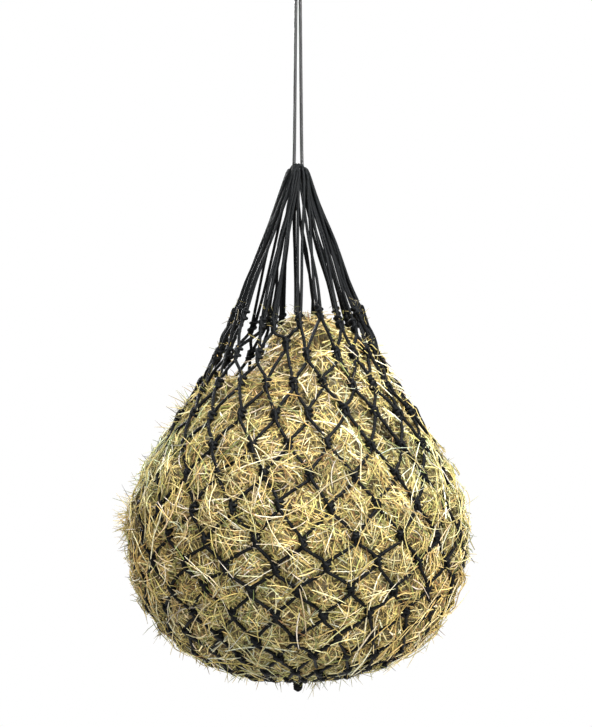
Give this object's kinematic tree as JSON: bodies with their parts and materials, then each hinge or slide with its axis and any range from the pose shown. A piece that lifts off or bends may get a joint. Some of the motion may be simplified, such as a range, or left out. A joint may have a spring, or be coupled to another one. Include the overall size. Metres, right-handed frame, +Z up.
{
  "type": "hay net",
  "caption": "Knotted rope hay net filled with hay, teardrop shaped, hanging by a doubled draw cord with a knot and a hanging eye, with a small loop at the base.",
  "frame": {"origin": "inside top of the hanging eye, where it bears on its hook", "axes": "+Z up along the draw cord; the eye and the two legs of the cord lie in the XZ plane; -Y is the front"},
  "size_m": [0.4448, 0.4458, 0.9904],
  "materials": {
    "net_cord": "matt braided twine",
    "draw_cord": "glossy braided cord",
    "hay": "dry cut grass"
  },
  "bodies": {
    "eye": {"hanging_eye": "draw_cord"},
    "knot": {"eye_knot": "draw_cord"},
    "cord": {"draw_cord": "draw_cord"},
    "net": {"gathered_head": "net_cord", "top_loops": "net_cord", "knot_row_01": "net_cord", "mesh_row_01": "net_cord", "knot_row_02": "net_cord", "mesh_row_02": "net_cord", "knot_row_03": "net_cord", "mesh_row_03": "net_cord", "knot_row_04": "net_cord", "mesh_row_04": "net_cord", "knot_row_05": "net_cord", "mesh_row_05": "net_cord", "knot_row_06": "net_cord", "mesh_row_06": "net_cord", "knot_row_07": "net_cord", "mesh_row_07": "net_cord", "knot_row_08": "net_cord", "mesh_row_08": "net_cord", "knot_row_09": "net_cord", "mesh_row_09": "net_cord", "knot_row_10": "net_cord", "mesh_row_10": "net_cord", "knot_row_11": "net_cord", "mesh_row_11": "net_cord", "knot_row_12": "net_cord", "mesh_row_12": "net_cord", "knot_row_13": "net_cord", "mesh_row_13": "net_cord", "knot_row_14": "net_cord", "mesh_row_14": "net_cord", "knot_row_15": "net_cord", "mesh_row_15": "net_cord", "base_gather": "net_cord", "hay_core": "hay"},
    "base_loop": {"base_loop": "net_cord"}
  },
  "joints": [
    {"name": "twist", "type": "hinge", "parent": "eye", "child": "knot", "pos_m": [0, 0, -0.04], "axis": [0, 0, 1], "range_deg": [-180, 180]},
    {"name": "swing", "type": "hinge", "parent": "knot", "child": "cord", "pos_m": [0, 0, -0.06255], "axis": [1, 0, 0], "range_deg": [-45, 45]},
    {"name": "draw_cord_slip", "type": "slide", "parent": "cord", "child": "net", "axis": [0, 0, 1], "range_m": [0, 0.06]},
    {"name": "base_loop_swing", "type": "hinge", "parent": "net", "child": "base_loop", "pos_m": [0, 0, -0.97189], "axis": [1, 0, 0], "range_deg": [-60, 60]}
  ]
}
